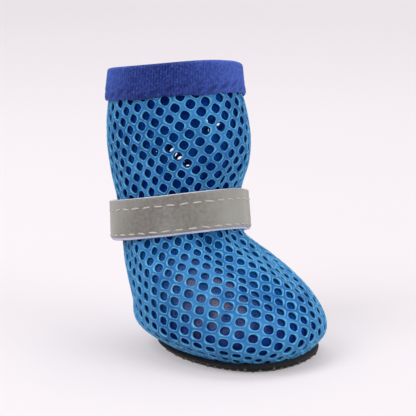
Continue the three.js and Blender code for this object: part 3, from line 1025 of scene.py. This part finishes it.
# ribbed tape
def ribbed(name):
    m = Mat(name, rough=0.76, spec=0.20, sheen=0.05)
    fine = m.noise(1800, 3, 0.6); big = m.noise(90, 2, 0.5); spots = m.noise(1500, 2, 0.6)
    # painted highlight on each rib's crest and painted shade in its trough, keyed to the rib relief
    c = m.ramp(m.attr("rib"), [(0.05, srgb(0, 13, 74)), (0.5, srgb(1, 24, 94)), (0.95, srgb(12, 46, 130))])
    c = m.mix(m.math("MULTIPLY", fine, 0.40), c, srgb(12, 30, 92))
    # painted side light: the binding painted lighter round the front and back
    c = m.mix(m.math("MULTIPLY", m.attr("side_light_share"), 0.70), c, srgb(70, 100, 192))
    c = m.mix(m.ramp(big, [(0.42, (0, 0, 0, 1)), (0.65, (0.2, 0.2, 0.2, 1))]), c, srgb(54, 78, 156))
    c = m.mix(m.ramp(spots, [(0.34, (0.34, 0.34, 0.34, 1)), (0.50, (0, 0, 0, 1))]), c, srgb(2, 12, 64))
    c = m.mix(m.ramp(spots, [(0.50, (0, 0, 0, 1)), (0.68, (0.24, 0.24, 0.24, 1))]), c, srgb(92, 116, 198))
    # painted shade in the dips where the tape sinks into the mesh holes
    c = m.mix(m.math("MULTIPLY", m.attr("dip_shade"), 0.75), c, srgb(12, 20, 78))
    m.color(c)
    v = m.n("ShaderNodeTexVoronoi"); v.inputs["Scale"].default_value = 2600
    m.link(m.co.outputs["Object"], v.inputs["Vector"])
    m.normal(m.bump(v.outputs["Distance"], 0.45, 0.00010, m.bump(fine, 0.4, 0.0001)))
    return m

tape_mat = ribbed("ribbed_tape_blue")
assign(binding, tape_mat); assign(back_tape, tape_mat)

# reflective tape: fine glass-bead grain over grey
m = Mat("reflective_tape_grey", rough=0.46, spec=0.45)
fine = m.noise(3200, 2, 0.6); mid = m.noise(900, 4, 0.65); big = m.noise(55, 2, 0.5)
c = m.ramp(mid, [(0.28, srgb(88, 84, 80)), (0.52, srgb(110, 106, 101)), (0.78, srgb(132, 129, 123))])
c = m.mix(m.math("MULTIPLY", fine, 0.28), c, srgb(90, 86, 82))
# painted side light: the reflective tape painted lighter round the front and back
c = m.mix(m.math("MULTIPLY", m.attr("side_light_share"), 0.85), c, srgb(150, 149, 140))
# painted sheen: large soft lighter patches standing in for the tape's uneven reflection
c = m.mix(m.ramp(big, [(0.46, (0, 0, 0, 1)), (0.68, (0.35, 0.35, 0.35, 1))]), c, srgb(160, 160, 156))
m.color(c)
m.rough(m.ramp(mid, [(0.3, (0.42, 0.42, 0.42, 1)), (0.8, (0.56, 0.56, 0.56, 1))]))
w1 = m.n("ShaderNodeTexWave"); w1.bands_direction = "Z"; w1.inputs["Scale"].default_value = 620; w1.inputs["Distortion"].default_value = 1.2
m.link(m.co.outputs["Object"], w1.inputs["Vector"])
m.normal(m.bump(w1.outputs["Fac"], 0.15, 0.00006, m.bump(mid, 0.30, 0.00015)))
assign(strap_tape, m)

m = Mat("strap_backing_pale", rough=0.75, spec=0.3, sheen=0.1)
fine = m.noise(2200, 3, 0.6)
m.color(m.ramp(fine, [(0.3, srgb(178, 178, 205)), (0.7, srgb(222, 222, 240))]))
m.normal(m.bump(fine, 0.4, 0.0001))
assign(strap_back, m)

m = Mat("stitch_thread", rough=0.65, spec=0.35, sheen=0.1)
tw = m.noise(2400, 2, 0.5)
m.color(m.ramp(tw, [(0.3, srgb(150, 145, 138)), (0.7, srgb(186, 182, 175))]))
m.normal(m.bump(tw, 0.5, 0.0001))
assign(strap_stitch, m)

m = Mat("fastener_black", rough=0.9, spec=0.2, sheen=0.1)
fine = m.noise(1500, 4, 0.7)
m.color(m.ramp(fine, [(0.3, srgb(10, 10, 12)), (0.8, srgb(48, 48, 52))]))
m.normal(m.bump(fine, 0.9, 0.0004))
assign(pad, m)

# sole: black fabric, lighter grey on its turned-up strip above about 2 mm, and painted shade making it darker towards
# the floor
m = Mat("sole_fabric_black", rough=0.85, spec=0.25, sheen=0.08)
fine = m.noise(1900, 4, 0.7); mid = m.noise(260, 3, 0.6)
sep = m.n("ShaderNodeSeparateXYZ"); m.link(m.co.outputs["Object"], sep.inputs[0])
edge = m.math("MULTIPLY_ADD", sep.outputs["Z"], 1/0.0006, -1.6/0.6, clamp=True)
c = m.ramp(fine, [(0.35, srgb(3, 3, 4)), (0.6, srgb(9, 8, 10)), (0.8, srgb(30, 29, 32))])
c2 = m.ramp(fine, [(0.32, srgb(10, 11, 14)), (0.58, srgb(28, 30, 36)), (0.78, srgb(78, 80, 86))])
m.color(m.mix(m.math("MULTIPLY", edge, 0.8), c, c2))
m.normal(m.bump(fine, 0.7, 0.0002, m.bump(mid, 0.4, 0.0003)))
assign(sole, m)

m = Mat("sole_dot_rubber", rough=0.6, spec=0.4)
fine = m.noise(900, 2, 0.5)
sep = m.n("ShaderNodeSeparateXYZ"); m.link(m.co.outputs["Object"], sep.inputs[0])
side = m.math("MULTIPLY_ADD", sep.outputs["Z"], 1/0.0012, -0.5, clamp=True)
under = m.ramp(fine, [(0.3, srgb(94, 88, 87)), (0.7, srgb(150, 142, 136))])
m.color(m.mix(m.math("MULTIPLY", side, 0.75), under, srgb(26, 25, 29)))
m.normal(m.bump(fine, 0.3, 0.0001))
assign(dots, m)

m = Mat("insole_felt", rough=0.9, spec=0.2, sheen=0.2)
fine = m.noise(1300, 4, 0.7)
m.color(m.ramp(fine, [(0.3, srgb(118, 104, 112)), (0.7, srgb(168, 150, 156))]))
m.normal(m.bump(fine, 0.6, 0.0003))
assign(insole, m)

# ---------------------------------------------------------------- floor, light, camera
def make_floor():
    n = 24
    pts = [(-1.6, 0.0)]
    pts += [(0.85, 0.0)]
    for k in range(1, 13):
        th = (PI/2)*k/12
        pts.append((0.85 + 0.5*math.sin(th), 0.5*(1 - math.cos(th))))
    pts.append((1.35, 2.2))
    # runs away from the camera
    az = math.atan2(453.14, -292.13)          # direction from the camera to the boot, in plan
    d = Vector((math.cos(az), math.sin(az), 0)); s = Vector((-d.y, d.x, 0))
    V = []
    for w in (-3.0, 3.0):
        for p, z in pts:
            V.append(tuple(d*p + s*w + Vector((0, 0, z))))
    k = len(pts)
    F = [(i, i + 1, k + i + 1, k + i) for i in range(k - 1)]
    me = bpy.data.meshes.new("floor"); me.from_pydata(V, [], F); me.update()
    me.polygons.foreach_set("use_smooth", [True]*len(F))
    ob = bpy.data.objects.new("floor", me); bpy.context.scene.collection.objects.link(ob)
    fm = Mat("floor_paper", rough=0.95, spec=0.1)
    nz = fm.noise(3.0, 2, 0.5)
    fm.color(fm.ramp(nz, [(0.3, srgb(162, 158, 160)), (0.7, srgb(165, 161, 163))]))
    fm.b.inputs["Emission Color"].default_value = (1.0, 0.954, 1.0, 1)
    fm.b.inputs["Emission Strength"].default_value = 0.33
    assign(ob, fm)
    return ob


make_floor()

world = bpy.data.worlds.new("studio"); bpy.context.scene.world = world
world.use_nodes = True
bg = world.node_tree.nodes["Background"]
bg.inputs[0].default_value = (0.965, 0.95, 0.965, 1); bg.inputs[1].default_value = 0.62


def area(name, loc, target, size, energy, color=(1, 1, 1), size_y=None):
    L = bpy.data.lights.new(name, "AREA"); L.energy = energy; L.size = size; L.color = color
    if size_y:
        L.shape = "RECTANGLE"; L.size_y = size_y
    ob = bpy.data.objects.new(name, L); ob.location = loc
    ob.rotation_euler = (Vector(target) - Vector(loc)).to_track_quat("-Z", "Y").to_euler()
    bpy.context.scene.collection.objects.link(ob)
    return ob


CAM = Vector((0.29113, -0.45394, 0.16519))
AIM = Vector((-0.0095, -0.0008, 0.0435))
fwd = (AIM - CAM).normalized()
right = fwd.cross(Vector((0, 0, 1))).normalized()
back = Vector((-fwd.x, -fwd.y, 0)).normalized()
area("key_left", right*-0.55 + back*0.35 + Vector((0, 0, 0.75)), (0, 0, 0.03), 0.5, 5.7)
area("fill_right", right*0.7 + back*0.45 + Vector((0, 0, 0.45)), (0, 0, 0.04), 0.6, 4.2)
area("top", right*0.05 + back*-0.25 + Vector((0, 0, 0.9)), (0, 0, 0.03), 0.7, 1.9)

area("backdrop", back*-0.45 + Vector((0, 0, 1.3)), tuple(back*-1.25 + Vector((0, 0, 0.25))), 1.2, 10.6)

cam = bpy.data.cameras.new("camera"); co = bpy.data.objects.new("camera", cam)
bpy.context.scene.collection.objects.link(co)
co.location = CAM
co.rotation_euler = fwd.to_track_quat("-Z", "Y").to_euler()
cam.sensor_width = 36; cam.sensor_fit = "HORIZONTAL"; cam.lens = 160
cam.clip_start = 0.01; cam.clip_end = 20
bpy.context.scene.camera = co
sc = bpy.context.scene
sc.view_settings.view_transform = "Standard"
sc.view_settings.look = "None"

bpy.context.view_layer.update()
for o in bpy.context.scene.objects:
    if o.type == "MESH" and not o.hide_render:
        tris = sum(len(p.vertices) - 2 for p in o.data.polygons)
        print("piece", o.name, tris)
